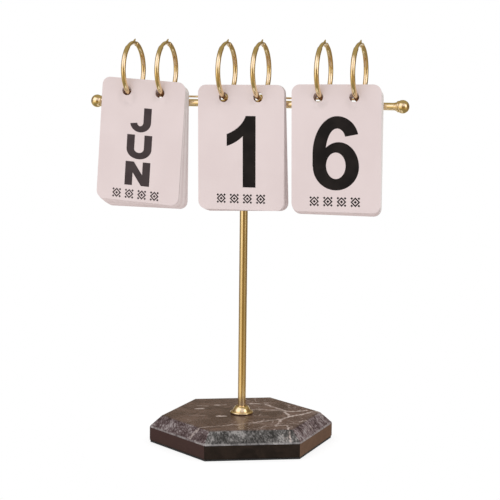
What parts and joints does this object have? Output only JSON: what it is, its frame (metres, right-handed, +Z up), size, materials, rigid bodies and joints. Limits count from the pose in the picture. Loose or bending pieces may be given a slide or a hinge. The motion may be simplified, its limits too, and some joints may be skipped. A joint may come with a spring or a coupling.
{
  "type": "perpetual desk calendar",
  "caption": "Free-standing perpetual desk calendar: month, tens and units cards hang on hinged rings from a crossbar on a slim post with a hexagonal stone foot.",
  "frame": {"origin": "middle of the underside, on the post's axis", "axes": "+X along the crossbar to the right-hand ball, +Y to the back, +Z up the post"},
  "size_m": [0.204, 0.1148, 0.2491],
  "materials": {
    "stone": "polished dark brown veined marble with honed chamfers",
    "pad": "matte soft foam sheet",
    "gold": "satin gold plate",
    "zinc": "bright zinc plate",
    "card": "smooth matt coated card, pale warm white"
  },
  "bodies": {
    "stand": {"base_slab": "stone", "base_pad": "pad", "foot_flange": "gold", "post": "gold", "post_washer": "zinc", "post_nut": "zinc", "crossbar": "gold", "ball_end_left": "gold", "ball_end_right": "gold", "hinge_rod": "gold", "ring_front_1": "gold", "ring_front_2": "gold", "ring_front_3": "gold", "ring_front_4": "gold", "ring_front_5": "gold", "ring_front_6": "gold"},
    "month_stack": {"month_card_jul": "card", "month_card_aug": "card", "month_card_sep": "card", "month_card_oct": "card", "month_card_nov": "card", "month_card_dec": "card", "month_card_jan": "card", "month_card_feb": "card", "month_card_mar": "card", "month_card_apr": "card", "month_card_may": "card"},
    "month_leaf": {"month_card_jun": "card"},
    "tens_stack": {"tens_card_2": "card", "tens_card_3": "card", "tens_card_0": "card"},
    "tens_leaf": {"tens_card_1": "card"},
    "unit_stack": {"unit_card_7": "card", "unit_card_8": "card", "unit_card_9": "card", "unit_card_0": "card", "unit_card_1": "card", "unit_card_2": "card", "unit_card_3": "card", "unit_card_4": "card", "unit_card_5": "card"},
    "unit_leaf": {"unit_card_6": "card"},
    "ring_back_half_1": {"ring_back_1": "gold"},
    "ring_back_half_2": {"ring_back_2": "gold"},
    "ring_back_half_3": {"ring_back_3": "gold"},
    "ring_back_half_4": {"ring_back_4": "gold"},
    "ring_back_half_5": {"ring_back_5": "gold"},
    "ring_back_half_6": {"ring_back_6": "gold"}
  },
  "joints": [
    {"name": "month_stack_swing", "type": "hinge", "parent": "stand", "child": "month_stack", "pos_m": [-0.0624, 0, 0.23], "axis": [-1, 0, 0], "range_deg": [0, 25]},
    {"name": "month_leaf_flip", "type": "hinge", "parent": "month_stack", "child": "month_leaf", "pos_m": [-0.0624, 0, 0.23], "axis": [-1, 0, 0], "range_deg": [0, 270]},
    {"name": "tens_stack_swing", "type": "hinge", "parent": "stand", "child": "tens_stack", "pos_m": [-0.001, 0, 0.23], "axis": [-1, 0, 0], "range_deg": [0, 25]},
    {"name": "tens_leaf_flip", "type": "hinge", "parent": "tens_stack", "child": "tens_leaf", "pos_m": [-0.001, 0, 0.23], "axis": [-1, 0, 0], "range_deg": [0, 270]},
    {"name": "unit_stack_swing", "type": "hinge", "parent": "stand", "child": "unit_stack", "pos_m": [0.0604, 0, 0.23], "axis": [-1, 0, 0], "range_deg": [0, 25]},
    {"name": "unit_leaf_flip", "type": "hinge", "parent": "unit_stack", "child": "unit_leaf", "pos_m": [0.0604, 0, 0.23], "axis": [-1, 0, 0], "range_deg": [0, 270]},
    {"name": "ring_open_1", "type": "hinge", "parent": "stand", "child": "ring_back_half_1", "pos_m": [-0.0734, 0.00286, 0.21375], "axis": [1, 0, 0], "range_deg": [-75, 0]},
    {"name": "ring_open_2", "type": "hinge", "parent": "stand", "child": "ring_back_half_2", "pos_m": [-0.0514, 0.00286, 0.21375], "axis": [1, 0, 0], "range_deg": [-75, 0]},
    {"name": "ring_open_3", "type": "hinge", "parent": "stand", "child": "ring_back_half_3", "pos_m": [-0.012, 0.00286, 0.21375], "axis": [1, 0, 0], "range_deg": [-75, 0]},
    {"name": "ring_open_4", "type": "hinge", "parent": "stand", "child": "ring_back_half_4", "pos_m": [0.01, 0.00286, 0.21375], "axis": [1, 0, 0], "range_deg": [-75, 0]},
    {"name": "ring_open_5", "type": "hinge", "parent": "stand", "child": "ring_back_half_5", "pos_m": [0.0494, 0.00286, 0.21375], "axis": [1, 0, 0], "range_deg": [-75, 0]},
    {"name": "ring_open_6", "type": "hinge", "parent": "stand", "child": "ring_back_half_6", "pos_m": [0.0714, 0.00286, 0.21375], "axis": [1, 0, 0], "range_deg": [-75, 0]}
  ]
}
